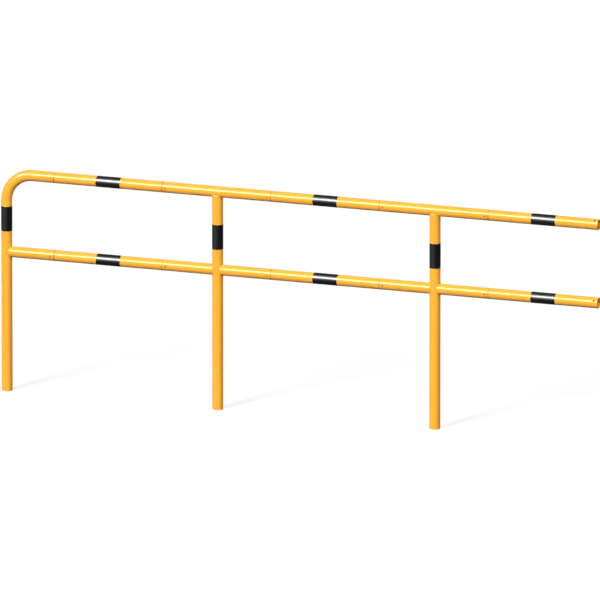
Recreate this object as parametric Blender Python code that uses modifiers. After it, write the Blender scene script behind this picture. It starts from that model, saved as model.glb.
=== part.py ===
# Industrial guard rail: a modular railing of round steel tube, coated yellow with black bands.
# The end module's post bends over into the top rail. Two middle modules follow, each a post welded
# under a short top tube, with a knee stub on both sides. Pairs of connecting tubes plug onto the
# modules over inner sleeves that grub screws lock, and the last pair ends open for the next module.
# Lengths are in metres: X runs along the rail, -Y is the front, Z is up, and the feet are at Z = 0.

import math

import bpy
import bmesh
from mathutils import Vector

# Tube stock
TUBE_RADIUS = 0.024
TUBE_WALL = 0.0025
BEND_RADIUS = 0.120

# A tube that is welded to another is coped to it above and below, and its tips are cut square at
# this distance from the other's axis.
TIP_SETBACK = 0.015

# Heights and lengths of the modules
RAIL_TOP_HEIGHT = 1.000
KNEE_RAIL_DROP = 0.350
END_MODULE_LENGTH = 0.250
MIDDLE_MODULE_LENGTH = 0.500
CONNECTING_TUBE_LENGTH = 0.500
MIDDLE_MODULES = 2

# Black marking bands
BAND_LENGTH = 0.110
BAND_THICKNESS = 0.0003
BAND_BELOW_BEND = 0.025

# Inner sleeves and their grub screws
SLEEVE_REACH = 0.055
SLEEVE_WALL = 0.005
SLEEVE_CHAMFER = 0.0015
SCREW_INSET = 0.016
SCREW_RADIUS = 0.004
SCREW_LENGTH = 0.008
SCREW_RECESS = 0.001
SCREW_CHAMFER = 0.0008
SOCKET_ACROSS_FLATS = 0.004
SOCKET_DEPTH = 0.004

# Directions of the screw holes, as angles above the front direction around the rail's axis
MODULE_SCREW_ANGLE = 0.0
CONNECTING_SCREW_ANGLE = 180.0
FREE_HOLE_ANGLES = {"top": 53.0, "knee": 33.0}

# Clearance between touching pieces, and how far a cutter reaches past what it cuts
GAP = 0.0003
CUT_MARGIN = 0.005

# Facets
TUBE_SIDES = 28
BEND_STEPS = 10
WELD_SIDES = 6
SLEEVE_SIDES = 16
SCREW_SIDES = 12
HEXAGON_SIDES = 6
MERGE_DISTANCE = 0.00001
SHARP_ANGLE = 35.0
WELDED_SHARP_ANGLE = 65.0

# Sizes that follow from those above
BORE_RADIUS = TUBE_RADIUS - TUBE_WALL
RAIL_AXIS_HEIGHT = RAIL_TOP_HEIGHT - TUBE_RADIUS
KNEE_AXIS_HEIGHT = RAIL_AXIS_HEIGHT - KNEE_RAIL_DROP
AXIS_HEIGHTS = {"top": RAIL_AXIS_HEIGHT, "knee": KNEE_AXIS_HEIGHT}
COPE_RADIUS = TUBE_RADIUS + GAP
WELD_RADIUS = TUBE_WALL - GAP
BAND_INNER_RADIUS = TUBE_RADIUS + GAP
BAND_OUTER_RADIUS = BAND_INNER_RADIUS + BAND_THICKNESS
POST_BAND_TOP = RAIL_AXIS_HEIGHT - BEND_RADIUS - BAND_BELOW_BEND
SLEEVE_RADIUS = BORE_RADIUS - GAP
SCREW_HOLE_RADIUS = SCREW_RADIUS + GAP
PITCH = CONNECTING_TUBE_LENGTH + MIDDLE_MODULE_LENGTH
TOTAL_LENGTH = END_MODULE_LENGTH + MIDDLE_MODULES * PITCH + CONNECTING_TUBE_LENGTH - GAP / 2
# The band on the end post stands off its outer face, and the middle of the whole box is at X = 0.
OUTER_FACE_X = (BAND_OUTER_RADIUS - TUBE_RADIUS - TOTAL_LENGTH) / 2

ALONG_X = (0.0, math.pi / 2, 0.0)
ALONG_Z = (0.0, 0.0, 0.0)


def linear(red, green, blue):
    """A screen colour of 0 to 255 as the linear values that a shader takes."""
    shares = [value / 255 for value in (red, green, blue)]
    return [s / 12.92 if s <= 0.04045 else ((s + 0.055) / 1.055) ** 2.4 for s in shares] + [1.0]


FINISHES = {
    "yellow_coating": (linear(255, 190, 40), 0.25, 0.0),
    "black_film": (linear(32, 32, 34), 0.35, 0.0),
    "zinc_plating": (linear(190, 192, 196), 0.4, 1.0),
    "screw_steel": (linear(120, 116, 110), 0.45, 1.0),
}


def clear_scene():
    for item in list(bpy.data.objects):
        bpy.data.objects.remove(item, do_unlink=True)


def collection(name):
    """A new collection in the scene."""
    made = bpy.data.collections.new(name)
    bpy.context.scene.collection.children.link(made)
    return made


def material(name, finish):
    """A Principled material of its own for one sub-part."""
    colour, roughness, metallic = FINISHES[finish]
    made = bpy.data.materials.new(name)
    made.use_nodes = True
    shader = made.node_tree.nodes["Principled BSDF"]
    shader.inputs["Base Color"].default_value = colour
    shader.inputs["Roughness"].default_value = roughness
    shader.inputs["Metallic"].default_value = metallic
    return made


# Basic shapes


def add(name, mesh, location=(0.0, 0.0, 0.0), rotation=ALONG_Z):
    """A new object in the collection of the cutters, where every shape starts."""
    made = bpy.data.objects.new(name, mesh)
    made.location = location
    made.rotation_euler = rotation
    made.hide_render = True
    made.display_type = "WIRE"
    CUTTERS.objects.link(made)
    return made


def turned(name, profile, sides, location, rotation):
    """A closed profile of (radius, height) points, turned round its own Z axis."""
    mesh = bpy.data.meshes.new(name)
    count = len(profile)
    points = [(radius, 0.0, height) for radius, height in profile]
    mesh.from_pydata(points, [(k, (k + 1) % count) for k in range(count)], [])
    made = add(name, mesh, location, rotation)
    turn = made.modifiers.new("Turn", "SCREW")
    turn.steps = sides
    turn.render_steps = sides
    turn.use_merge_vertices = True
    turn.merge_threshold = MERGE_DISTANCE
    return made


def ring(name, outer, inner, length, sides, location, rotation, chamfer=0.0):
    """A hollow round piece from its location along its own Z axis."""
    profile = [(outer, length - chamfer), (outer, chamfer)]
    if chamfer:
        profile += [(outer - chamfer, 0.0)]
    profile += [(inner, 0.0), (inner, length)]
    if chamfer:
        profile += [(outer - chamfer, length)]
    return turned(name, profile, sides, location, rotation)


def tube(name, start, end, rotation):
    """A straight piece of the tube stock between two points."""
    length = (Vector(end) - Vector(start)).length
    return ring(name, TUBE_RADIUS, BORE_RADIUS, length, TUBE_SIDES, start, rotation)


def cylinder(name, radius, length, sides, location, rotation):
    """A solid cylinder from its location along its own Z axis."""
    mesh = bpy.data.meshes.new(name)
    shape = bmesh.new()
    bmesh.ops.create_cone(
        shape, cap_ends=True, segments=sides, radius1=radius, radius2=radius, depth=length)
    bmesh.ops.translate(shape, verts=shape.verts, vec=(0.0, 0.0, length / 2))
    shape.to_mesh(mesh)
    shape.free()
    return add(name, mesh, location, rotation)


def bar(name, path, radius, sides, cyclic=False):
    """A solid round bar along a path: a bevelled curve, made a mesh with its caps welded."""
    curve = bpy.data.curves.new(name, "CURVE")
    curve.dimensions = "3D"
    curve.bevel_depth = radius
    curve.bevel_resolution = (sides - 4) // 2
    curve.use_fill_caps = True
    spline = curve.splines.new("POLY")
    spline.points.add(len(path) - 1)
    spline.use_cyclic_u = cyclic
    for point, place in zip(spline.points, path):
        point.co = (*place, 1.0)
    guide = bpy.data.objects.new(name, curve)
    bpy.context.scene.collection.objects.link(guide)
    depsgraph = bpy.context.evaluated_depsgraph_get()
    mesh = bpy.data.meshes.new_from_object(guide.evaluated_get(depsgraph))
    bpy.data.objects.remove(guide, do_unlink=True)
    shape = bmesh.new()
    shape.from_mesh(mesh)
    bmesh.ops.remove_doubles(shape, verts=shape.verts, dist=MERGE_DISTANCE)
    shape.to_mesh(mesh)
    shape.free()
    return add(name, mesh)


def combine(target, other, operation):
    """A Boolean of the target with another shape, which the finished piece no longer needs."""
    step = target.modifiers.new(other.name, "BOOLEAN")
    step.operation = operation
    step.solver = "EXACT"
    step.object = other


def finish(piece, look, sharp_angle=SHARP_ANGLE):
    """Applies a piece's modifiers, shades it, gives it its material and moves it to the parts."""
    helpers = [step.object for step in piece.modifiers if step.type == "BOOLEAN"]
    depsgraph = bpy.context.evaluated_depsgraph_get()
    mesh = bpy.data.meshes.new_from_object(piece.evaluated_get(depsgraph))
    piece.modifiers.clear()
    piece.data = mesh
    for helper in helpers:
        bpy.data.objects.remove(helper, do_unlink=True)
    mesh.name = piece.name
    mesh.shade_smooth()
    mesh.set_sharp_from_angle(angle=math.radians(sharp_angle))
    mesh.materials.clear()
    mesh.materials.append(material(piece.name, look))
    piece.hide_render = False
    piece.display_type = "TEXTURED"
    CUTTERS.objects.unlink(piece)
    PARTS.objects.link(piece)
    return piece


def place(name, pieces, x):
    """Hangs the pieces of one module on an empty, and sets that at its place along the rail."""
    carrier = bpy.data.objects.new(name, None)
    PARTS.objects.link(carrier)
    for piece in pieces:
        piece.parent = carrier
    carrier.location = (x, 0.0, 0.0)


# Screw holes


def towards(angle):
    """The rotation that turns a shape's Z axis to an angle above the front."""
    return (math.pi / 2 - math.radians(angle), 0.0, 0.0)


def outwards(x, height, angle, distance):
    """A point at a distance from a rail's axis, at an angle above the front."""
    turn = math.radians(angle)
    return (x, -distance * math.cos(turn), height + distance * math.sin(turn))


def drill(piece, x, height, angle):
    """Bores a screw hole from a rail's axis out through one wall."""
    drill_bit = cylinder(
        piece.name + "_hole", SCREW_HOLE_RADIUS, TUBE_RADIUS + CUT_MARGIN, SCREW_SIDES,
        (x, 0.0, height), towards(angle))
    combine(piece, drill_bit, "DIFFERENCE")


# Welded saddles


def seam(side):
    """Where a weld runs, out from the axis of the tube that carries it and beside that axis.

    It follows the cope, and at a tip it lies in the notch between the square end and the tube.
    """
    cope = math.sqrt(COPE_RADIUS ** 2 - side ** 2)
    if cope > TIP_SETBACK:
        return cope, side
    share = (1.0 + COPE_RADIUS / math.hypot(TIP_SETBACK, side)) / 2
    return TIP_SETBACK * share, side * share


def weld(piece, to_point):
    """Adds a fillet weld where a tube meets the tube that it is coped to."""
    path = []
    for k in range(TUBE_SIDES):
        turn = 2 * math.pi * k / TUBE_SIDES
        out, side = seam(TUBE_RADIUS * math.sin(turn))
        path.append(to_point(out, side, TUBE_RADIUS * math.cos(turn)))
    bead = bar(piece.name + "_weld", path, WELD_RADIUS, WELD_SIDES, cyclic=True)
    combine(piece, bead, "UNION")


def knee_stub(name, direction, reach):
    """A knee stub from the post at X = 0, coped to it and welded, with its screw hole."""
    near, far = sorted((direction * TIP_SETBACK, direction * reach))
    stub = tube(name, (near, 0.0, KNEE_AXIS_HEIGHT), (far, 0.0, KNEE_AXIS_HEIGHT), ALONG_X)
    weld(stub, lambda out, side, up: (direction * out, side, KNEE_AXIS_HEIGHT + up))
    post_space = cylinder(
        name + "_cope", COPE_RADIUS, 2 * TUBE_RADIUS + 2 * CUT_MARGIN, TUBE_SIDES,
        (0.0, 0.0, KNEE_AXIS_HEIGHT - TUBE_RADIUS - CUT_MARGIN), ALONG_Z)
    combine(stub, post_space, "DIFFERENCE")
    drill(stub, direction * (reach - SCREW_INSET), KNEE_AXIS_HEIGHT, MODULE_SCREW_ANGLE)
    return finish(stub, "yellow_coating", WELDED_SHARP_ANGLE)


# Bands


def band(name, location, rotation):
    """A black marking band wrapped round a tube."""
    wrap = ring(
        name, BAND_OUTER_RADIUS, BAND_INNER_RADIUS, BAND_LENGTH, TUBE_SIDES, location, rotation)
    return finish(wrap, "black_film")


def post_band(name):
    return band(name, (0.0, 0.0, POST_BAND_TOP - BAND_LENGTH), ALONG_Z)


# Modules


def end_post_path(margin):
    """The centre line of the end post: up, round the bend and along the top rail."""
    bend_x = BEND_RADIUS
    bend_z = RAIL_AXIS_HEIGHT - BEND_RADIUS
    path = [(0.0, 0.0, -margin)]
    for k in range(BEND_STEPS + 1):
        turn = math.pi / 2 * k / BEND_STEPS
        path.append((
            bend_x - BEND_RADIUS * math.cos(turn), 0.0, bend_z + BEND_RADIUS * math.sin(turn)))
    path.append((END_MODULE_LENGTH - TUBE_RADIUS - GAP / 2 + margin, 0.0, RAIL_AXIS_HEIGHT))
    return path


def end_module(x):
    """The bent end post with its knee stub and band."""
    reach = END_MODULE_LENGTH - TUBE_RADIUS - GAP / 2
    post = bar("end_post", end_post_path(0.0), TUBE_RADIUS, TUBE_SIDES)
    bore = bar("end_post_bore", end_post_path(CUT_MARGIN), BORE_RADIUS, TUBE_SIDES)
    combine(post, bore, "DIFFERENCE")
    drill(post, reach - SCREW_INSET, RAIL_AXIS_HEIGHT, MODULE_SCREW_ANGLE)
    pieces = [
        finish(post, "yellow_coating"),
        knee_stub("end_knee_stub", 1, reach),
        post_band("end_post_band"),
    ]
    place("end_module", pieces, x)


def middle_post(name):
    """A post whose upper end is coped to the top tube and welded under it."""
    top = RAIL_AXIS_HEIGHT - TIP_SETBACK
    post = tube(name, (0.0, 0.0, 0.0), (0.0, 0.0, top), ALONG_Z)
    weld(post, lambda out, side, along: (along, side, RAIL_AXIS_HEIGHT - out))
    rail_space = cylinder(
        name + "_cope", COPE_RADIUS, 2 * TUBE_RADIUS + 2 * CUT_MARGIN, TUBE_SIDES,
        (-TUBE_RADIUS - CUT_MARGIN, 0.0, RAIL_AXIS_HEIGHT), ALONG_X)
    combine(post, rail_space, "DIFFERENCE")
    return finish(post, "yellow_coating", WELDED_SHARP_ANGLE)


def top_tube(name, reach):
    """A middle module's length of top rail, with a screw hole at each end."""
    rail = tube(name, (-reach, 0.0, RAIL_AXIS_HEIGHT), (reach, 0.0, RAIL_AXIS_HEIGHT), ALONG_X)
    for side in (-1, 1):
        drill(rail, side * (reach - SCREW_INSET), RAIL_AXIS_HEIGHT, MODULE_SCREW_ANGLE)
    return finish(rail, "yellow_coating")


def middle_module(number, x):
    """A post under its top tube, with a knee stub on both sides and its band."""
    reach = (MIDDLE_MODULE_LENGTH - GAP) / 2
    pieces = [
        middle_post(f"post_{number}"),
        top_tube(f"top_tube_{number}", reach),
        knee_stub(f"knee_stub_left_{number}", -1, reach),
        knee_stub(f"knee_stub_right_{number}", 1, reach),
        post_band(f"post_band_{number}"),
    ]
    place(f"middle_module_{number}", pieces, x)


def connecting_tube(name, height, far_angle):
    """A connecting tube from the joint at X = 0, with a screw hole at each end."""
    end = CONNECTING_TUBE_LENGTH - GAP / 2
    rail = tube(name, (GAP / 2, 0.0, height), (end, 0.0, height), ALONG_X)
    drill(rail, SCREW_INSET, height, CONNECTING_SCREW_ANGLE)
    drill(rail, CONNECTING_TUBE_LENGTH - SCREW_INSET, height, far_angle)
    return finish(rail, "yellow_coating")


def connection(number, x, is_last):
    """The pair of connecting tubes between two modules, each with its band in the middle."""
    pieces = []
    for rail, height in AXIS_HEIGHTS.items():
        far_angle = FREE_HOLE_ANGLES[rail] if is_last else CONNECTING_SCREW_ANGLE
        pieces.append(connecting_tube(f"connecting_tube_{rail}_{number}", height, far_angle))
        band_start = (CONNECTING_TUBE_LENGTH - BAND_LENGTH) / 2
        pieces.append(band(f"rail_band_{rail}_{number}", (band_start, 0.0, height), ALONG_X))
    place(f"connection_{number}", pieces, x)


# Joints


def sleeve(name, height, left_angle, right_angle):
    """The inner sleeve that bridges the joint at X = 0, with a threaded hole on each side."""
    inner = ring(
        name, SLEEVE_RADIUS, SLEEVE_RADIUS - SLEEVE_WALL, 2 * SLEEVE_REACH, SLEEVE_SIDES,
        (-SLEEVE_REACH, 0.0, height), ALONG_X, SLEEVE_CHAMFER)
    drill(inner, -SCREW_INSET, height, left_angle)
    drill(inner, SCREW_INSET, height, right_angle)
    return finish(inner, "zinc_plating")


def grub_screw(name, x, height, angle):
    """A grub screw with a hexagon socket, its outer end a little below the tube's surface."""
    profile = [
        (0.0, SCREW_LENGTH),
        (SCREW_RADIUS - SCREW_CHAMFER, SCREW_LENGTH),
        (SCREW_RADIUS, SCREW_LENGTH - SCREW_CHAMFER),
        (SCREW_RADIUS, 0.0),
        (0.0, 0.0),
    ]
    bottom = TUBE_RADIUS - SCREW_RECESS - SCREW_LENGTH
    screw = turned(name, profile, SCREW_SIDES, outwards(x, height, angle, bottom), towards(angle))
    socket_bottom = TUBE_RADIUS - SCREW_RECESS - SOCKET_DEPTH
    socket_radius = SOCKET_ACROSS_FLATS / 2 / math.cos(math.pi / HEXAGON_SIDES)
    socket = cylinder(
        name + "_socket", socket_radius, SOCKET_DEPTH + CUT_MARGIN, HEXAGON_SIDES,
        outwards(x, height, angle, socket_bottom), towards(angle))
    combine(screw, socket, "DIFFERENCE")
    return finish(screw, "screw_steel")


def joint(number, x, module_is_left):
    """The sleeves of both rails at one joint, each with a grub screw on both sides."""
    left_angle = MODULE_SCREW_ANGLE if module_is_left else CONNECTING_SCREW_ANGLE
    right_angle = CONNECTING_SCREW_ANGLE if module_is_left else MODULE_SCREW_ANGLE
    pieces = []
    for rail, height in AXIS_HEIGHTS.items():
        label = f"{rail}_{number}"
        pieces.append(sleeve(f"sleeve_{label}", height, left_angle, right_angle))
        pieces.append(grub_screw(f"grub_screw_left_{label}", -SCREW_INSET, height, left_angle))
        pieces.append(grub_screw(f"grub_screw_right_{label}", SCREW_INSET, height, right_angle))
    place(f"joint_{number}", pieces, x)


def guard_rail():
    """The end module, then the middle modules, each after its connecting tubes."""
    end_module(OUTER_FACE_X + TUBE_RADIUS)
    joint_x = OUTER_FACE_X + END_MODULE_LENGTH
    for k in range(MIDDLE_MODULES):
        joint(2 * k + 1, joint_x, True)
        connection(k + 1, joint_x, False)
        joint(2 * k + 2, joint_x + CONNECTING_TUBE_LENGTH, False)
        middle_module(k + 1, joint_x + CONNECTING_TUBE_LENGTH + MIDDLE_MODULE_LENGTH / 2)
        joint_x += PITCH
    joint(2 * MIDDLE_MODULES + 1, joint_x, True)
    connection(MIDDLE_MODULES + 1, joint_x, True)


clear_scene()
PARTS = collection("guard_rail")
CUTTERS = collection("cutters")
guard_rail()
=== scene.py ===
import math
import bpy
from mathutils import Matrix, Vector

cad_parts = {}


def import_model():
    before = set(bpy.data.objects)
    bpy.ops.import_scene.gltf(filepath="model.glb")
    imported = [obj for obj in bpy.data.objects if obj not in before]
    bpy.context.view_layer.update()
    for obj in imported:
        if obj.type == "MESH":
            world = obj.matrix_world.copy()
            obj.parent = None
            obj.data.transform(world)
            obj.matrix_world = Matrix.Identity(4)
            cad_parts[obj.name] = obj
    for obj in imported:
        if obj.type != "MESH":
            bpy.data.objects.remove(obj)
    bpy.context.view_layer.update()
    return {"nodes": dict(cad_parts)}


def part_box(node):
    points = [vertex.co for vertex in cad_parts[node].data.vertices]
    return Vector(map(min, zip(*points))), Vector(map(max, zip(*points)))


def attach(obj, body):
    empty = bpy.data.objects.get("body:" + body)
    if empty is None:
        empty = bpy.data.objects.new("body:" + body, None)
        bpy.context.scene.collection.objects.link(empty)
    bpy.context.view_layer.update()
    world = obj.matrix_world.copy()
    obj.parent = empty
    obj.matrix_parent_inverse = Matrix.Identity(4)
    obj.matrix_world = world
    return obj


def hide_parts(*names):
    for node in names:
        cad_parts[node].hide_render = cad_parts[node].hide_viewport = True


bl_info = {
    "name": "Guard rail looks",
    "version": (1, 0, 0),
    "blender": (4, 5, 0),
    "location": "View3D > Sidebar > Guard rail",
    "description": "Dresses a modular guard rail: coated tubes, welds, marking bands and screws",
    "category": "Add Mesh",
}

import bmesh
import bpy
from mathutils import Matrix, Vector

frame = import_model()

# Sizes and places that the frame gives, in metres. Angles go up from the front, -Y, round a rail.

RAILS = ("top", "knee")
JOINT_TUBES = {rail: [f"connecting_tube_{rail}_{k}" for k in (1, 2, 3)] for rail in RAILS}
FIRST_TUBE_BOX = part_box("connecting_tube_top_1")
TUBE_RADIUS = (FIRST_TUBE_BOX[1].y - FIRST_TUBE_BOX[0].y) / 2
HEIGHTS = {rail: sum(corner.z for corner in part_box(JOINT_TUBES[rail][0])) / 2 for rail in RAILS}
END_POST_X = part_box("end_post")[0].x + TUBE_RADIUS
POST_X = [sum(corner.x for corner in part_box(f"post_{k}")) / 2 for k in (1, 2)]
FIRST_JOINT_X = (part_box("end_post")[1].x + FIRST_TUBE_BOX[0].x) / 2
JOINT_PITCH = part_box("top_tube_1")[0].x - FIRST_TUBE_BOX[0].x
OPEN_END_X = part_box("connecting_tube_top_3")[1].x
CLOSE_ENOUGH = 0.00005

# How fine each pattern of a finish is, in waves per metre, and how deep its relief is, in metres

COAT_PATCHES = 7.0
COAT_PEEL = 420.0
COAT_GRAIN = 2600.0
COAT_RELIEF = 0.00006
FILM_EMBOSS = 900.0
FILM_WAVES = 18.0
FILM_SCUFFS = (300.0, 60.0, 300.0)
FILM_RELIEF = 0.00004
ZINC_TURNING = (2400.0, 40.0, 40.0)
ZINC_MOTTLE = 160.0
ZINC_RELIEF = 0.00004
STEEL_MOTTLE = 700.0
STEEL_RELIEF = 0.00003

# Where the camera looks, and the directions of the lamps from the object

TARGET_X = 0.0047
TARGET_HEIGHT = 0.5221
SENSOR_WIDTH = 36.0
KEY_DIRECTION = (-0.32, -0.76, 0.56)
LEFT_DIRECTION = (-0.61, -0.57, 0.53)
BACK_DIRECTION = (0.25, 0.94, 0.22)


def screen(red, green, blue):
    """A screen colour of 0 to 255 as the linear values that a shader takes."""
    shares = [value / 255 for value in (red, green, blue)]
    return tuple(s / 12.92 if s <= 0.04045 else ((s + 0.055) / 1.055) ** 2.4 for s in shares)


# Settings


def length(name, description, default):
    return bpy.props.FloatProperty(
        name=name, description=description, default=default, unit="LENGTH", precision=5)


def angle(name, description, degrees):
    return bpy.props.FloatProperty(
        name=name, description=description, default=math.radians(degrees), subtype="ANGLE")


def share(name, description, default):
    return bpy.props.FloatProperty(
        name=name, description=description, default=default, min=0.0, max=1.0)


def amount(name, description, default):
    return bpy.props.FloatProperty(name=name, description=description, default=default)


def whole(name, description, default):
    return bpy.props.IntProperty(name=name, description=description, default=default, min=3)


def colour(name, description, default):
    return bpy.props.FloatVectorProperty(
        name=name, description=description, default=default, size=3, subtype="COLOR",
        min=0.0, max=1.0)


class GuardRailTubes(bpy.types.PropertyGroup):
    wall: length("Wall", "Thickness of the tube's wall", 0.0025)
    bend_radius: length("Bend radius", "Radius of the end post's bend, at the axis", 0.120)
    edge: length("Eased edge", "Width of the rounding on a cut end", 0.0006)
    facets: whole("Facets", "Facets round a tube", 96)
    bend_steps: whole("Bend steps", "Steps along the bend", 32)
    tip: length("Tip", "From a tube's axis to the square tips of the end coped to it", 0.015)


class GuardRailScrews(bpy.types.PropertyGroup):
    inset: length("Inset", "From a joint to the screw's axis", 0.016)
    hole_radius: length("Hole radius", "Radius of a screw hole in a tube", 0.0043)
    countersink: length("Countersink", "Width of the eased rim of a screw hole", 0.0005)
    hole_sides: whole("Hole sides", "Sides of a screw hole", 32)
    rim_sides: whole("Rim sides", "Sides of the eased rim, other than the hole's", 40)
    reach: amount("Drill reach", "How far a hole is drilled from the axis, in tube radii", 1.3)
    radius: length("Radius", "Outer radius of a screw's thread", 0.004)
    length: length("Length", "Length of a screw", 0.008)
    recess: length("Recess", "Depth of a screw's end below the tube's surface", 0.001)
    pitch: length("Pitch", "Pitch of the thread", 0.00125)
    thread: length("Thread depth", "Depth of the thread", 0.0006)
    chamfer: length("Chamfer", "Chamfer at a screw's outer end", 0.0006)
    flats: length("Across flats", "Width of the hexagon socket", 0.004)
    socket: length("Socket depth", "Depth of the hexagon socket", 0.004)
    steps: whole("Steps", "Steps round a screw", 32)


class GuardRailWelds(bpy.types.PropertyGroup):
    half_width: length("Half width", "Half the width of a weld bead", 0.0036)
    rise: length("Rise", "How far a bead stands out of the corner that it fills", 0.0017)
    ripples: whole("Ripples", "Ripples round a bead", 64)
    ripple_depth: share("Ripple depth", "Depth of a ripple, as a share of the rise", 0.14)
    ripple_steps: whole("Ripple steps", "Steps along each ripple", 6)
    ripple_lag: amount("Ripple lag", "How far a ripple trails at a bead's edges, in radians", 1.2)
    sides: whole("Sides", "Points round a bead", 10)
    notch_blend: amount("Notch blend", "How fast a bead turns into the notch at a tip", 3.0)


class GuardRailBands(bpy.types.PropertyGroup):
    thickness: length("Thickness", "Thickness of the film", 0.0005)
    seam: length("Seam", "Gap between the film's ends, at the back", 0.0007)
    steps_round: whole("Steps round", "Steps round a tube", 126)
    steps_along: whole("Steps along", "Steps along a tube", 4)


class GuardRailFinishes(bpy.types.PropertyGroup):
    coating: colour("Coating", "Colour of the powder coat", (0.95, 0.408, 0.019))
    coating_roughness: share("Coating roughness", "Roughness of the powder coat", 0.42)
    coating_gloss: share("Coating gloss", "Strength of the clear top of the powder coat", 0.16)
    # These set a painted shade: the coating keeps its colour for the bore reach inside an open end,
    # and a darker copy of it is painted deeper in the bore and on the walls of the screw holes as
    # their shade.
    bore_shade_tone: share("Bore tone", "How light the coating is deep inside a tube", 0.1)
    mouth_tone: share("Mouth tone", "How light the coating is just inside an open end", 1.0)
    bore_reach: length("Bore reach", "How far into an open end the coating reaches", 0.03)
    dust: share("Dust", "Strength of the powder coat's soft bloom", 0.14)
    dust_roughness: share("Dust roughness", "Roughness of the powder coat's soft bloom", 0.7)
    coating_specular: share("Coating specular", "Strength of the powder coat's broad shine", 0.05)
    top_roughness: share("Top roughness", "Roughness of the clear top of the powder coat", 0.2)
    # These three set a painted shade: a darker band painted along each joint, where the gap between
    # the tubes lies in shade.
    joint_shade: share("Grime", "Depth of the grime that lies in the joints", 0.85)
    joint_shade_width: length("Grime width", "How far the grime reaches from a joint", 0.002)
    joint_shade_tone: share("Grime tone", "How light the coating is under the grime", 0.25)
    film: colour("Film", "Colour of the marking film", (0.001, 0.001, 0.0012))
    film_roughness: share("Film roughness", "Roughness of the marking film", 0.38)
    film_gloss: share("Film gloss", "Strength of the marking film's reflection", 0.49)
    zinc: colour("Zinc", "Colour of the zinc plating", screen(196, 198, 202))
    screw_steel: colour("Screw steel", "Colour of the passivated screws", (0.55, 0.36, 0.13))


class GuardRailStage(bpy.types.PropertyGroup):
    azimuth: angle("Azimuth", "How far the camera stands to the right of the front", 19.37)
    elevation: angle("Elevation", "How far the camera looks down", 14.47)
    frame_width: length("Frame width", "Width of the picture at the rail", 2.607)
    lens: amount("Lens", "Focal length in millimetres", 1500.0)
    key: amount("Key light", "Strength of the key light", 4.3)
    gloss: amount("Gloss light", "Strength of the key light's glare in a glossy surface", 3.4)
    left_gloss: amount("Left gloss light", "Strength of the glare that the bend catches", 13.0)
    gloss_spread: angle("Gloss spread", "Width of the lights that only shine in a gloss", 8.0)
    key_spread: angle("Key spread", "Width of the key light", 16.0)
    side: amount("Side light", "Strength of the light from the right", 1.45)
    side_turn: angle("Side light's turn", "How far the side light stands from the front", 66.0)
    side_rise: share("Side light's rise", "How far the side light stands up", 0.4)
    side_spread: angle("Side spread", "Width of the side light", 40.0)
    back: amount("Back light", "Strength of the light behind", 2.6)
    back_spread: angle("Back spread", "Width of the light behind", 25.0)
    fill: share("Fill light", "Strength of the light from all round", 0.02)
    mirrored: share("Mirrored white", "How white the surroundings look in a glossy surface", 0.1)
    floor_size: length("Floor size", "Width of the floor", 80.0)
    floor_tone: share("Floor tone", "How much light the floor throws back on the rail", 0.06)
    floor_paper: share("Floor paper", "Tone of the floor that the camera sees under a shadow", 0.8)
    floor_white: amount("Floor white", "How bright the floor looks to the camera, 1 is white", 1.05)
    floor_gloss: share("Floor gloss", "How much of the floor a glossy surface sees as white", 0.9)
    shadow: share("Shadow", "Depth of the rail's shadow on the floor", 0.2)


SETTINGS = {
    "guard_rail_tubes": GuardRailTubes,
    "guard_rail_screws": GuardRailScrews,
    "guard_rail_welds": GuardRailWelds,
    "guard_rail_bands": GuardRailBands,
    "guard_rail_finishes": GuardRailFinishes,
    "guard_rail_stage": GuardRailStage,
}


def settings(group):
    return getattr(bpy.context.scene, "guard_rail_" + group)


# Shader arithmetic and nodes


class Number:
    """A shader value that takes part in Python arithmetic through Math nodes."""

    def __init__(self, nodes, socket):
        self.nodes = nodes
        self.socket = socket

    def math(self, operation, second, first=None):
        return self.nodes.node(
            "ShaderNodeMath", {"operation": operation},
            {0: self if first is None else first, 1: second})

    def __add__(self, other):
        return self.math("ADD", other)

    def __sub__(self, other):
        return self.math("SUBTRACT", other)

    def __rsub__(self, other):
        return self.math("SUBTRACT", self, other)

    def __mul__(self, other):
        return self.math("MULTIPLY", other)

    __radd__ = __add__
    __rmul__ = __mul__


class Nodes:
    """The nodes of a material or of the world."""

    def __init__(self, owner):
        owner.use_nodes = True
        self.tree = owner.node_tree

    def node(self, kind, options=None, sockets=None, output=0):
        """A new node with its options set first, then its sockets' values or links."""
        made = self.tree.nodes.new(kind)
        for name, value in (options or {}).items():
            if name == "stops":
                self.set_stops(made.color_ramp.elements, value)
            else:
                setattr(made, name, value)
        for key, value in (sockets or {}).items():
            self.feed(made.inputs[key], value)
        return Number(self, made.outputs[output])

    def set_stops(self, elements, stops):
        while len(elements) < len(stops):
            elements.new(1.0)
        for element, (position, tone) in zip(elements, stops):
            element.position = position
            element.color = grey(tone)

    def feed(self, socket, value):
        if isinstance(value, Number):
            self.tree.links.new(value.socket, socket)
        else:
            socket.default_value = value

    def seen_by(self, ray):
        """Whether a ray of one kind looks here: camera, glossy or transmission."""
        return self.node("ShaderNodeLightPath", output=f"Is {ray} Ray")


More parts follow.
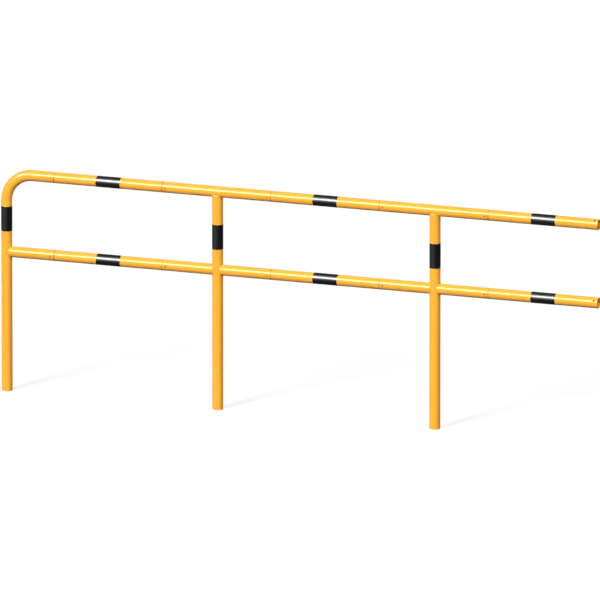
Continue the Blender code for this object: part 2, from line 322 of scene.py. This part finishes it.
class Surface(Nodes):
    """A material and the nodes that make its finish."""

    def __init__(self, name):
        self.material = bpy.data.materials.new(name)
        super().__init__(self.material)
        self.shader = self.tree.nodes.get("Principled BSDF")
        self.place = self.node("ShaderNodeTexCoord", output="Object")

    def noise(self, scale, detail, place=None):
        return self.node("ShaderNodeTexNoise", sockets={
            "Vector": place or self.place, "Scale": scale, "Detail": detail, "Roughness": 0.5})

    def along_x(self):
        """The place on the piece along X."""
        return self.node("ShaderNodeSeparateXYZ", sockets={"Vector": self.place})

    def stretched(self, scale):
        """The place on the piece, scaled by its own factor along each axis."""
        return self.node("ShaderNodeMapping", sockets={"Vector": self.place, "Scale": scale})

    def ramp(self, value, *stops):
        return self.node("ShaderNodeValToRGB", {"stops": stops}, {"Fac": value})

    def blend(self, factor, first, second):
        """A colour between two others."""
        return self.node(
            "ShaderNodeMix", {"data_type": "RGBA"}, {0: factor, 6: first, 7: second}, output=2)

    def bump(self, height, distance):
        return self.node("ShaderNodeBump", sockets={
            "Height": height, "Distance": distance, "Strength": 1.0})

    def set(self, **sockets):
        for name, value in sockets.items():
            self.feed(self.shader.inputs[name.replace("_", " ")], value)


def tinted(base, factor):
    """A colour made lighter or darker by a factor."""
    return (*(min(1.0, channel * factor) for channel in base), 1.0)


def grey(tone):
    """A grey with all its channels at one tone."""
    return (tone, tone, tone, 1.0)


def coating_material():
    """A glossy powder coat with faint orange peel, and a painted shade along the joints.

    It keeps its own colour a little way into the open ends, and a painted shade darkens it in the
    holes and deep in the bores.
    """
    choice = settings("finishes")
    coat = Surface("powder_coat")
    patches = coat.noise(COAT_PATCHES, detail=3.0)
    peel = coat.noise(COAT_PEEL, detail=2.0)
    grain = coat.noise(COAT_GRAIN, detail=1.0)
    yellow = coat.blend(
        coat.ramp(patches, (0.3, 0.0), (0.7, 1.0)),
        tinted(choice.coating, 0.975), tinted(choice.coating, 1.02))
    speckled = coat.blend(
        coat.ramp(grain, (0.55, 0.0), (0.8, 0.12)), yellow, tinted(choice.coating, 0.8))
    # Painted shade: the coating is painted darker within a few millimetres of each joint, away from
    # the open end, as the shade of the gap between the tubes.
    from_joint = (coat.along_x() - FIRST_JOINT_X).math("PINGPONG", JOINT_PITCH / 2)
    from_open_end = OPEN_END_X - coat.along_x()
    line = coat.ramp(from_joint * (1 / choice.joint_shade_width), (0.4, 1.0), (1.0, 0.0))
    jointed = from_open_end.math("GREATER_THAN", choice.bore_reach)
    lined = coat.blend(
        line * jointed * choice.joint_shade * (0.6 + peel),
        speckled, tinted(choice.coating, choice.joint_shade_tone))
    # Painted shade: faces marked as bore get a darker copy of the coating deep inside, and the
    # walls of the screw holes get it all over.
    marks = coat.node("ShaderNodeAttribute", {"attribute_name": "bore"}, output="Fac")
    depth = coat.ramp(from_open_end * (1 / choice.bore_reach), (0.6, 0.0), (1.0, 1.0))
    inside = coat.blend(
        depth + (marks - 1.0),
        tinted(choice.coating, choice.mouth_tone), tinted(choice.coating, choice.bore_shade_tone))
    coat.set(
        Base_Color=coat.blend(marks, lined, inside),
        Roughness=choice.coating_roughness + (patches - 0.5) * 0.06 + (peel - 0.5) * 0.05,
        Normal=coat.bump(peel + grain * 0.15, COAT_RELIEF),
        IOR=1.5, Specular_IOR_Level=choice.coating_specular, Coat_Weight=choice.coating_gloss,
        Coat_Roughness=choice.top_roughness, Coat_IOR=1.5, Sheen_Weight=choice.dust,
        Sheen_Roughness=choice.dust_roughness)
    return coat.material


def film_material():
    """A satin black marking film with a faint emboss and a few light scuffs."""
    choice = settings("finishes")
    film = Surface("marking_film")
    emboss = film.noise(FILM_EMBOSS, detail=2.0)
    waves = film.noise(FILM_WAVES, detail=3.0)
    scuffs = film.ramp(
        film.noise(1.0, detail=4.0, place=film.stretched(FILM_SCUFFS)), (0.62, 0.0), (0.78, 1.0))
    black = film.blend(scuffs * 0.25, tinted(choice.film, 1.0), tinted(choice.film, 1.8))
    film.set(
        Base_Color=black,
        Roughness=choice.film_roughness + (waves - 0.5) * 0.08 + scuffs * 0.06,
        Normal=film.bump(emboss + waves * 0.5, FILM_RELIEF),
        IOR=1.5, Specular_IOR_Level=choice.film_gloss)
    return film.material


def zinc_material():
    """Zinc-plated steel with fine turning marks round it and a soft mottle."""
    choice = settings("finishes")
    zinc = Surface("bright_zinc")
    turning = zinc.noise(1.0, detail=1.0, place=zinc.stretched(ZINC_TURNING))
    mottle = zinc.noise(ZINC_MOTTLE, detail=3.0)
    zinc.set(
        Base_Color=zinc.blend(mottle, tinted(choice.zinc, 0.85), tinted(choice.zinc, 1.05)),
        Metallic=1.0, Roughness=0.28 + mottle * 0.2, Normal=zinc.bump(turning, ZINC_RELIEF))
    return zinc.material


def screw_material():
    """Dull screw steel, darker where the plating is thin."""
    choice = settings("finishes")
    steel = Surface("dull_steel")
    mottle = steel.noise(STEEL_MOTTLE, detail=3.0)
    steel.set(
        Base_Color=steel.blend(
            mottle, tinted(choice.screw_steel, 0.7), tinted(choice.screw_steel, 1.1)),
        Metallic=1.0, Roughness=0.35 + mottle * 0.2, Normal=steel.bump(mottle, STEEL_RELIEF))
    return steel.material


MATERIAL_MAKERS = {
    "yellow_coating": coating_material,
    "black_film": film_material,
    "zinc_plating": zinc_material,
    "screw_steel": screw_material,
}


FINISHES = {}


def finish(slot):
    """The finish for a material slot, made when a piece first needs it."""
    if slot not in FINISHES:
        FINISHES[slot] = MATERIAL_MAKERS[slot]()
    return FINISHES[slot]


# Modelling


def deselect():
    """Leaves edit mode and selects nothing, so that an operator acts on one piece alone."""
    if bpy.context.object and bpy.context.object.mode != "OBJECT":
        bpy.ops.object.mode_set(mode="OBJECT")
    bpy.ops.object.select_all(action="DESELECT")


def activate(piece):
    deselect()
    bpy.context.view_layer.objects.active = piece
    piece.select_set(True)


def named(name):
    """Names the piece that an operator has just added, and puts its place in its mesh."""
    piece = bpy.context.object
    piece.name = name
    piece.data.name = name
    bpy.ops.object.transform_apply(location=True, rotation=True, scale=True)
    return piece


def apply(piece, kind, **options):
    """Adds a modifier to a piece and applies it."""
    activate(piece)
    step = piece.modifiers.new(kind, kind)
    for name, value in options.items():
        setattr(step, name, value)
    bpy.ops.object.modifier_apply(modifier=step.name)


def cut(piece, cutter):
    """Takes a cutter's shape out of a piece, and removes the cutter."""
    apply(piece, "BOOLEAN", object=cutter, operation="DIFFERENCE", solver="EXACT")
    bpy.data.objects.remove(cutter, do_unlink=True)


def edit(piece, test, kind="EDGE"):
    """Goes into edit mode with only the edges or faces selected whose points all pass a test."""
    activate(piece)
    bpy.ops.object.mode_set(mode="EDIT")
    bpy.ops.mesh.select_mode(type=kind)
    bpy.ops.mesh.select_all(action="DESELECT")
    shape = bmesh.from_edit_mesh(piece.data)
    for element in shape.edges if kind == "EDGE" else shape.faces:
        if all(test(point.co) for point in element.verts):
            element.select_set(True)
    shape.select_flush_mode()
    bmesh.update_edit_mesh(piece.data)


def ease(piece, test):
    """Rounds the edges that pass a test."""
    edit(piece, test)
    bpy.ops.mesh.bevel(offset=settings("tubes").edge, segments=2, affect="EDGES")
    deselect()


def turn_outwards(piece):
    activate(piece)
    bpy.ops.object.mode_set(mode="EDIT")
    bpy.ops.mesh.select_all(action="SELECT")
    bpy.ops.mesh.normals_make_consistent(inside=False)
    deselect()


def dress(piece, material_name, replaced=None, sharp=20.0):
    """Shades a finished piece, gives it its finish and puts it on the object's body."""
    activate(piece)
    bpy.ops.object.shade_smooth_by_angle(angle=math.radians(sharp))
    piece.data.materials.clear()
    piece.data.materials.append(finish(material_name))
    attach(piece, "root")
    if replaced:
        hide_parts(replaced)


def copy_of(piece, name, move):
    """A copy of a piece with its own mesh, moved by a matrix."""
    made = piece.copy()
    made.data = piece.data.copy()
    bpy.context.scene.collection.objects.link(made)
    made.name = name
    made.data.name = name
    made.data.transform(move)
    return made


# Tubes


ALONG_X = (0.0, math.pi / 2, 0.0)
ALONG_Z = (0.0, 0.0, 0.0)


def rod(name, start, end, radius, sides, rotation, fill="NGON"):
    """A cylinder between two points on its axis."""
    start, end = Vector(start), Vector(end)
    deselect()
    bpy.ops.mesh.primitive_cylinder_add(
        vertices=sides, radius=radius, depth=(end - start).length, end_fill_type=fill,
        location=(start + end) / 2, rotation=rotation)
    return named(name)


def mark_bore(piece, axis_at, holes):
    """Marks the faces of a tube's bore with 1 and the walls of its screw holes with 2.

    It is given the point of the tube's axis beside any point, and the axes of the holes.
    """
    deep = TUBE_RADIUS - settings("tubes").wall / 2
    marks = piece.data.attributes.new("bore", "FLOAT", "FACE")
    for face, mark in zip(piece.data.polygons, marks.data):
        outwards = face.center - axis_at(face.center)
        if any(in_hole(face, start, out) for start, out in holes):
            mark.value = 2.0
        elif outwards.length < deep and face.normal.dot(outwards) < 0.0:
            mark.value = 1.0


def in_hole(face, start, out):
    """Whether a face is on the wall of the screw hole that leaves a point in a direction."""
    aside = (face.center - start).cross(out).length
    return (aside < settings("screws").hole_radius and (face.center - start).dot(out) > 0.0
            and abs(face.normal.dot(out)) < 0.1)


def give_wall(piece):
    """Thickens an open tube inwards to its wall."""
    turn_outwards(piece)
    apply(piece, "SOLIDIFY", thickness=settings("tubes").wall, offset=-1.0)


def beside(start, end):
    """A function that gives the point of a straight axis beside any point."""
    start = Vector(start)
    along = (Vector(end) - start).normalized()
    return lambda place: start + along * (place - start).dot(along)


def straight_tube(name, start, end, rotation):
    """A hollow tube with the rims of its ends eased."""
    tubes = settings("tubes")
    piece = rod(name, start, end, TUBE_RADIUS, tubes.facets, rotation, fill="NOTHING")
    give_wall(piece)
    along = (Vector(end) - Vector(start)).normalized()
    for point in (start, end):
        ease(piece, lambda place: abs((place - Vector(point)).dot(along)) < CLOSE_ENOUGH)
    return piece


def drill(piece, x, height, degrees):
    """Bores a screw hole with an eased rim from a rail's axis out through one wall.

    It returns the point and the direction in which the hole leaves the rail's axis.
    """
    screws = settings("screws")
    turn = math.radians(degrees)
    outwards = Vector((0.0, -math.cos(turn), math.sin(turn)))
    axis = Vector((x, 0.0, height))
    tilt = (math.pi / 2 - turn, 0.0, 0.0)
    far = axis + outwards * TUBE_RADIUS * screws.reach
    cut(piece, rod("bit", axis, far, screws.hole_radius, screws.hole_sides, tilt))
    flare = 2 * screws.countersink
    deselect()
    bpy.ops.mesh.primitive_cone_add(
        vertices=screws.rim_sides, radius1=screws.hole_radius - screws.countersink,
        radius2=screws.hole_radius + flare, depth=screws.countersink + flare,
        location=axis + outwards * (TUBE_RADIUS - screws.countersink / 2), rotation=tilt)
    cut(piece, named("countersink"))
    return axis, outwards


def cope(piece, start, end, rotation):
    """Cuts a piece to the outside of the tube that it meets."""
    cut(piece, rod("cope", start, end, TUBE_RADIUS, settings("tubes").facets, rotation))


def rail_axis(height):
    return beside((0.0, 0.0, height), (1.0, 0.0, height))


def node_span(node):
    """Where a node along X starts and ends."""
    low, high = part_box(node)
    return low.x, high.x


def end_post():
    """The end post: up from its foot, round the bend and along to the first joint."""
    tubes = settings("tubes")
    height = HEIGHTS["top"]
    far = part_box("end_post")[1].x
    deselect()
    bpy.ops.mesh.primitive_circle_add(
        vertices=tubes.facets, radius=TUBE_RADIUS, location=(END_POST_X, 0.0, 0.0))
    piece = named("coated_end_post")
    edit(piece, lambda place: True)
    bpy.ops.mesh.extrude_region_move(
        TRANSFORM_OT_translate={"value": (0.0, 0.0, height - tubes.bend_radius)})
    bpy.ops.mesh.spin(
        steps=tubes.bend_steps, angle=-math.pi / 2, axis=(0.0, 1.0, 0.0),
        center=(END_POST_X + tubes.bend_radius, 0.0, height - tubes.bend_radius))
    bpy.ops.mesh.extrude_region_move(
        TRANSFORM_OT_translate={"value": (far - END_POST_X - tubes.bend_radius, 0.0, 0.0)})
    bpy.ops.mesh.select_all(action="SELECT")
    bpy.ops.mesh.remove_doubles(threshold=CLOSE_ENOUGH / 10)
    give_wall(piece)
    ease(piece, lambda place: place.z < CLOSE_ENOUGH)
    ease(piece, lambda place: place.x > far - CLOSE_ENOUGH)
    hole = drill(piece, far - settings("screws").inset, height, 0.0)
    mark_bore(piece, end_post_axis, [hole])
    dress(piece, "yellow_coating", "end_post")


def end_post_axis(place):
    """The point of the end post's axis beside a point."""
    bend = settings("tubes").bend_radius
    centre = Vector((END_POST_X + bend, 0.0, HEIGHTS["top"] - bend))
    if place.z < centre.z:
        return Vector((END_POST_X, 0.0, place.z))
    if place.x > centre.x:
        return Vector((place.x, 0.0, HEIGHTS["top"]))
    return centre + (Vector((place.x, 0.0, place.z)) - centre).normalized() * bend


def posts():
    """The middle posts, coped to the top tubes above them."""
    height = HEIGHTS["top"]
    for number, x in enumerate(POST_X, 1):
        top = height - settings("tubes").tip
        piece = straight_tube(f"coated_post_{number}", (x, 0.0, 0.0), (x, 0.0, top), ALONG_Z)
        cope(piece, (x - 2 * TUBE_RADIUS, 0.0, height), (x + 2 * TUBE_RADIUS, 0.0, height), ALONG_X)
        mark_bore(piece, beside((x, 0.0, 0.0), (x, 0.0, top)), [])
        dress(piece, "yellow_coating", f"post_{number}")


def top_tubes():
    """The middle modules' lengths of top rail, with a screw hole near each end."""
    height = HEIGHTS["top"]
    inset = settings("screws").inset
    for number in (1, 2):
        near, far = node_span(f"top_tube_{number}")
        piece = straight_tube(
            f"coated_top_tube_{number}", (near, 0.0, height), (far, 0.0, height), ALONG_X)
        holes = [drill(piece, x, height, 0.0) for x in (near + inset, far - inset)]
        mark_bore(piece, rail_axis(height), holes)
        dress(piece, "yellow_coating", f"top_tube_{number}")


def knee_stub(node, post_x):
    """A knee stub, coped to its post, with a screw hole near its free end."""
    low, high = node_span(node)
    height = HEIGHTS["knee"]
    inset = settings("screws").inset
    tip = settings("tubes").tip
    rightwards = high > post_x + 2 * TUBE_RADIUS
    start, end = (post_x + tip, high) if rightwards else (low, post_x - tip)
    piece = straight_tube(
        "coated_" + node, (start, 0.0, height), (end, 0.0, height), ALONG_X)
    cope(
        piece, (post_x, 0.0, height - 2 * TUBE_RADIUS), (post_x, 0.0, height + 2 * TUBE_RADIUS),
        ALONG_Z)
    hole = drill(piece, end - inset if rightwards else start + inset, height, 0.0)
    mark_bore(piece, rail_axis(height), [hole])
    dress(piece, "yellow_coating", node)


def knee_stubs():
    knee_stub("end_knee_stub", END_POST_X)
    for number, x in enumerate(POST_X, 1):
        knee_stub(f"knee_stub_left_{number}", x)
        knee_stub(f"knee_stub_right_{number}", x)


FREE_HOLE_ANGLES = {"top": 53.0, "knee": 33.0}
BACK_HOLE_ANGLE = 180.0


def connecting_tubes():
    """The connecting tubes. The screw holes face the back, but at the open ends they show."""
    inset = settings("screws").inset
    for rail in RAILS:
        height = HEIGHTS[rail]
        for number, node in enumerate(JOINT_TUBES[rail], 1):
            near, far = node_span(node)
            piece = straight_tube(
                "coated_" + node, (near, 0.0, height), (far, 0.0, height), ALONG_X)
            far_angle = FREE_HOLE_ANGLES[rail] if number == 3 else BACK_HOLE_ANGLE
            holes = [
                drill(piece, near + inset, height, BACK_HOLE_ANGLE),
                drill(piece, far - inset, height, far_angle)]
            mark_bore(piece, rail_axis(height), holes)
            dress(piece, "yellow_coating", node)


# Welds


SMALL_TURN = 0.001


def bead(name, centre, out, up):
    """A rippled weld bead round the saddle where a tube leaves another in the direction out."""
    welds = settings("welds")
    deselect()
    bpy.ops.mesh.primitive_torus_add(
        major_segments=welds.ripple_steps * welds.ripples, minor_segments=welds.sides,
        major_radius=1.0, minor_radius=0.25)
    piece = named(name)
    side = up.cross(out)
    for vertex in piece.data.vertices:
        turn = math.atan2(vertex.co.y, vertex.co.x)
        roll = math.atan2(vertex.co.z, math.hypot(vertex.co.x, vertex.co.y) - 1.0)
        vertex.co = bead_point(centre, out, up, side, turn, roll)
    turn_outwards(piece)
    dress(piece, "yellow_coating", sharp=80.0)


def seam(centre, out, up, side, turn):
    """A point on the seam, and the way out of the corner there.

    The corner lies between the tubes at the cope, and under a square tip it is the notch between
    the end's face and the tube that carries it.
    """
    tip = settings("tubes").tip
    cope = TUBE_RADIUS * abs(math.cos(turn))
    reach = (cope + tip + math.hypot(cope - tip, settings("welds").rise)) / 2
    edge = out * reach + side * (TUBE_RADIUS * math.sin(turn))
    on_post = edge.normalized()
    point = centre + (edge + on_post * TUBE_RADIUS) / 2 + up * (TUBE_RADIUS * math.cos(turn))
    on_tube = side * math.sin(turn) + up * math.cos(turn)
    notched = min(1.0, settings("welds").notch_blend * max(0.0, 1.0 - cope / tip))
    return point, (on_post + on_tube.lerp(-out, notched)).normalized()


def bead_point(centre, out, up, side, turn, roll):
    """A point of a bead's skin, by its turn round the seam and its roll round the bead."""
    welds = settings("welds")
    point, normal = seam(centre, out, up, side, turn)
    ahead = seam(centre, out, up, side, turn + SMALL_TURN)[0]
    forwards = (ahead - point).normalized()
    across = forwards.cross(normal).normalized()
    flatness = 0.5 + 0.5 * abs(math.cos(turn))
    phase = welds.ripples * turn - welds.ripple_lag * math.cos(roll) ** 2
    ripple = 1.0 + welds.ripple_depth * (0.5 + 0.5 * math.sin(phase))
    rise = welds.rise * flatness * ripple * math.sin(roll)
    return point + across * (welds.half_width * math.cos(roll)) + normal * rise


def welds():
    """The beads where the knee stubs meet the posts and the posts meet the top tubes."""
    right, up = Vector((1.0, 0.0, 0.0)), Vector((0.0, 0.0, 1.0))
    knee = HEIGHTS["knee"]
    bead("weld_end_knee", Vector((END_POST_X, 0.0, knee)), right, up)
    for number, x in enumerate(POST_X, 1):
        bead(f"weld_knee_left_{number}", Vector((x, 0.0, knee)), -right, up)
        bead(f"weld_knee_right_{number}", Vector((x, 0.0, knee)), right, up)
        bead(f"weld_top_{number}", Vector((x, 0.0, HEIGHTS["top"])), -up, right)


# Bands


def film_band(node):
    """A strip of film wrapped round a tube, its ends butted at the back."""
    bands = settings("bands")
    low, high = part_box(node)
    size = high - low
    upright = size.z > size.x
    middle = (low + high) / 2
    span = size.z if upright else size.x
    seam_angle = bands.seam / TUBE_RADIUS
    radius = TUBE_RADIUS + CLOSE_ENOUGH
    deselect()
    bpy.ops.mesh.primitive_grid_add(
        x_subdivisions=bands.steps_round, y_subdivisions=bands.steps_along, size=1.0)
    piece = named("film_" + node)
    for vertex in piece.data.vertices:
        turn = seam_angle / 2 + (vertex.co.x + 0.5) * (2 * math.pi - seam_angle)
        across = (radius * math.cos(turn), radius * math.sin(turn))
        along = vertex.co.y * span
        if upright:
            vertex.co = middle + Vector((across[1], across[0], along))
        else:
            vertex.co = middle + Vector((along, across[0], across[1]))
    outside = 1.0 if surface_faces_out(piece, middle, upright) else -1.0
    apply(piece, "SOLIDIFY", thickness=bands.thickness, offset=outside)
    turn_outwards(piece)
    dress(piece, "black_film", node, sharp=35.0)


def surface_faces_out(piece, middle, upright):
    """Whether the first face of a wrapped strip looks away from the tube's axis."""
    face = piece.data.polygons[0]
    outwards = face.center - middle
    if upright:
        outwards.z = 0.0
    else:
        outwards.x = 0.0
    return face.normal.dot(outwards) > 0.0


def bands():
    for number in (1, 2, 3):
        for rail in RAILS:
            film_band(f"rail_band_{rail}_{number}")
    for node in ("end_post_band", "post_band_1", "post_band_2"):
        film_band(node)


# Screws


def first_screw():
    """A threaded grub screw along Z with a hexagon socket, its outer end at Z = 0."""
    screws = settings("screws")
    root = screws.radius - screws.thread
    turns = int((screws.length - 2 * screws.chamfer) / screws.pitch)
    profile = [(0.0, 0.0), (screws.radius - screws.chamfer, 0.0), (screws.radius, -screws.chamfer)]
    for k in range(turns):
        crest = -screws.chamfer - k * screws.pitch
        profile += [
            (screws.radius, crest - screws.pitch / 8),
            (root, crest - screws.pitch / 2),
            (screws.radius, crest - screws.pitch * 7 / 8)]
    profile += [(root, -screws.length), (0.0, -screws.length)]
    deselect()
    bpy.ops.mesh.primitive_plane_add(size=screws.length)
    piece = named("grub_screw")
    edit(piece, lambda place: True, "FACE")
    bpy.ops.mesh.delete(type="VERT")
    shape = bmesh.from_edit_mesh(piece.data)
    points = [shape.verts.new((x, 0.0, z)) for x, z in profile]
    for first, second in zip(points, points[1:]):
        shape.edges.new((first, second))
    bmesh.update_edit_mesh(piece.data)
    bpy.ops.mesh.select_all(action="SELECT")
    bpy.ops.mesh.spin(
        steps=screws.steps, angle=2 * math.pi, center=(0.0, 0.0, 0.0), axis=(0.0, 0.0, 1.0))
    bpy.ops.mesh.select_all(action="SELECT")
    bpy.ops.mesh.remove_doubles(threshold=CLOSE_ENOUGH / 5)
    turn_outwards(piece)
    corner = screws.flats / math.sqrt(3)
    low, high = (0.0, 0.0, -screws.socket), (0.0, 0.0, screws.socket)
    cut(piece, rod("socket", low, high, corner, 6, ALONG_Z))
    return piece


def grub_screws():
    """A screw in each side of each joint, its outer end in the tube's hole."""
    pattern = first_screw()
    outer_end = TUBE_RADIUS - settings("screws").recess
    for node in sorted(frame["nodes"]):
        if not node.startswith("grub_screw_"):
            continue
        low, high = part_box(node)
        middle = (low + high) / 2
        side = -1.0 if middle.y < 0.0 else 1.0
        place = Matrix.Translation((middle.x, side * outer_end, middle.z))
        tilt = Matrix.Rotation(-side * math.pi / 2, 4, "X")
        made = copy_of(pattern, node.replace("grub", "socket"), place @ tilt)
        dress(made, "screw_steel", node)
    bpy.data.objects.remove(pattern, do_unlink=True)


def sleeves():
    """The sleeves keep their shape and get their plating."""
    for node, piece in frame["nodes"].items():
        if node.startswith("sleeve_"):
            piece.data.materials.clear()
            piece.data.materials.append(finish("zinc_plating"))


# Stage


def floor_material():
    """A pale floor: the camera sees it white but for the shadow, and the rail sees it dim."""
    stage = settings("stage")
    pale = Surface("pale_floor")
    in_view = pale.seen_by("Camera") + pale.seen_by("Transmission")
    in_gloss = pale.seen_by("Glossy")
    matt = pale.node("ShaderNodeBsdfDiffuse", sockets={
        "Color": pale.blend(in_view, grey(stage.floor_tone), grey(stage.floor_paper))})
    white = pale.node("ShaderNodeEmission", sockets={
        "Color": grey(1.0), "Strength": in_view * stage.floor_white + in_gloss * stage.mirrored})
    mixed = pale.node("ShaderNodeMixShader", sockets={
        0: in_view * (1.0 - stage.shadow) + in_gloss * stage.floor_gloss, 1: matt, 2: white})
    pale.feed(pale.tree.nodes["Material Output"].inputs["Surface"], mixed)
    return pale.material


def floor():
    deselect()
    bpy.ops.mesh.primitive_plane_add(size=settings("stage").floor_size)
    piece = named("floor")
    piece.data.materials.append(floor_material())


def world():
    """White where the camera or a glass sees it, softer in a gloss, and a faint light otherwise."""
    stage = settings("stage")
    made = bpy.data.worlds.new("studio")
    bpy.context.scene.world = made
    nodes = Nodes(made)
    in_view = nodes.seen_by("Camera") + nodes.seen_by("Transmission")
    strength = (stage.fill + in_view * (1.0 - stage.fill)
                + nodes.seen_by("Glossy") * (stage.mirrored - stage.fill))
    background = nodes.tree.nodes["Background"]
    nodes.feed(background.inputs["Strength"], strength)
    background.inputs["Color"].default_value = grey(1.0)


def lamp(name, towards, strength, spread, diffuse=True, glossy=True):
    """A far, soft lamp in a direction from the object.

    Without diffuse it only shines in a gloss, and without glossy a gloss doesn't show it.
    """
    light = bpy.data.lights.new(name, "SUN")
    light.energy = strength
    light.angle = spread
    made = bpy.data.objects.new(name, light)
    made.rotation_euler = Vector(towards).to_track_quat("Z", "Y").to_euler()
    made.visible_diffuse = diffuse
    made.visible_glossy = glossy
    bpy.context.scene.collection.objects.link(made)


def camera():
    """A camera far off with a long lens, which keeps the rails parallel as in the photograph."""
    stage = settings("stage")
    target = Vector((TARGET_X, 0.0, TARGET_HEIGHT))
    towards = Vector((
        math.sin(stage.azimuth) * math.cos(stage.elevation),
        -math.cos(stage.azimuth) * math.cos(stage.elevation),
        math.sin(stage.elevation)))
    data = bpy.data.cameras.new("camera")
    data.sensor_width = SENSOR_WIDTH
    data.lens = stage.lens
    distance = stage.frame_width * stage.lens / SENSOR_WIDTH
    data.clip_start = distance / 10
    data.clip_end = distance * 10
    made = bpy.data.objects.new("camera", data)
    made.location = target + towards * distance
    made.rotation_euler = towards.to_track_quat("Z", "Y").to_euler()
    bpy.context.scene.collection.objects.link(made)
    bpy.context.scene.camera = made


def stage_set():
    stage = settings("stage")
    bpy.context.scene.view_settings.view_transform = "Standard"
    floor()
    world()
    lamp("key", KEY_DIRECTION, stage.key, stage.key_spread)
    lamp("glare", KEY_DIRECTION, stage.gloss, stage.gloss_spread, diffuse=False)
    lamp("left_glare", LEFT_DIRECTION, stage.left_gloss, stage.gloss_spread, diffuse=False)
    side = (math.sin(stage.side_turn), -math.cos(stage.side_turn), stage.side_rise)
    lamp("side", side, stage.side, stage.side_spread, glossy=False)
    lamp("back", BACK_DIRECTION, stage.back, stage.back_spread)
    camera()


# Operators and panel


class GUARD_RAIL_OT_end_post(bpy.types.Operator):
    """Make the bent end post"""

    bl_idname = "guard_rail.end_post"
    bl_label = "End post"

    def execute(self, context):
        end_post()
        return {"FINISHED"}


class GUARD_RAIL_OT_posts(bpy.types.Operator):
    """Make the middle posts"""

    bl_idname = "guard_rail.posts"
    bl_label = "Posts"

    def execute(self, context):
        posts()
        return {"FINISHED"}


class GUARD_RAIL_OT_top_tubes(bpy.types.Operator):
    """Make the middle modules' top tubes"""

    bl_idname = "guard_rail.top_tubes"
    bl_label = "Top tubes"

    def execute(self, context):
        top_tubes()
        return {"FINISHED"}


class GUARD_RAIL_OT_knee_stubs(bpy.types.Operator):
    """Make the knee stubs"""

    bl_idname = "guard_rail.knee_stubs"
    bl_label = "Knee stubs"

    def execute(self, context):
        knee_stubs()
        return {"FINISHED"}


class GUARD_RAIL_OT_connecting_tubes(bpy.types.Operator):
    """Make the connecting tubes"""

    bl_idname = "guard_rail.connecting_tubes"
    bl_label = "Connecting tubes"

    def execute(self, context):
        connecting_tubes()
        return {"FINISHED"}


class GUARD_RAIL_OT_welds(bpy.types.Operator):
    """Make the weld beads"""

    bl_idname = "guard_rail.welds"
    bl_label = "Welds"

    def execute(self, context):
        welds()
        return {"FINISHED"}


class GUARD_RAIL_OT_bands(bpy.types.Operator):
    """Make the marking bands"""

    bl_idname = "guard_rail.bands"
    bl_label = "Bands"

    def execute(self, context):
        bands()
        return {"FINISHED"}


class GUARD_RAIL_OT_grub_screws(bpy.types.Operator):
    """Make the grub screws"""

    bl_idname = "guard_rail.grub_screws"
    bl_label = "Grub screws"

    def execute(self, context):
        grub_screws()
        return {"FINISHED"}


class GUARD_RAIL_OT_sleeves(bpy.types.Operator):
    """Finish the inner sleeves"""

    bl_idname = "guard_rail.sleeves"
    bl_label = "Sleeves"

    def execute(self, context):
        sleeves()
        return {"FINISHED"}


class GUARD_RAIL_OT_stage(bpy.types.Operator):
    """Make the floor, the lights and the camera"""

    bl_idname = "guard_rail.stage"
    bl_label = "Stage"

    def execute(self, context):
        stage_set()
        return {"FINISHED"}


OPERATORS = (
    GUARD_RAIL_OT_end_post,
    GUARD_RAIL_OT_posts,
    GUARD_RAIL_OT_top_tubes,
    GUARD_RAIL_OT_knee_stubs,
    GUARD_RAIL_OT_connecting_tubes,
    GUARD_RAIL_OT_welds,
    GUARD_RAIL_OT_bands,
    GUARD_RAIL_OT_grub_screws,
    GUARD_RAIL_OT_sleeves,
    GUARD_RAIL_OT_stage,
)


class GUARD_RAIL_PT_panel(bpy.types.Panel):
    bl_label = "Guard rail"
    bl_idname = "GUARD_RAIL_PT_panel"
    bl_space_type = "VIEW_3D"
    bl_region_type = "UI"
    bl_category = "Guard rail"

    def draw(self, context):
        for kind in OPERATORS:
            self.layout.operator(kind.bl_idname)


def register():
    for name, group in SETTINGS.items():
        bpy.utils.register_class(group)
        setattr(bpy.types.Scene, name, bpy.props.PointerProperty(type=group))
    for kind in OPERATORS:
        bpy.utils.register_class(kind)
    bpy.utils.register_class(GUARD_RAIL_PT_panel)


def unregister():
    bpy.utils.unregister_class(GUARD_RAIL_PT_panel)
    for kind in reversed(OPERATORS):
        bpy.utils.unregister_class(kind)
    for name, group in SETTINGS.items():
        delattr(bpy.types.Scene, name)
        bpy.utils.unregister_class(group)


def main():
    register()
    bpy.ops.guard_rail.end_post()
    bpy.ops.guard_rail.posts()
    bpy.ops.guard_rail.top_tubes()
    bpy.ops.guard_rail.knee_stubs()
    bpy.ops.guard_rail.connecting_tubes()
    bpy.ops.guard_rail.welds()
    bpy.ops.guard_rail.bands()
    bpy.ops.guard_rail.grub_screws()
    bpy.ops.guard_rail.sleeves()
    bpy.ops.guard_rail.stage()


if __name__ == "__main__":
    main()
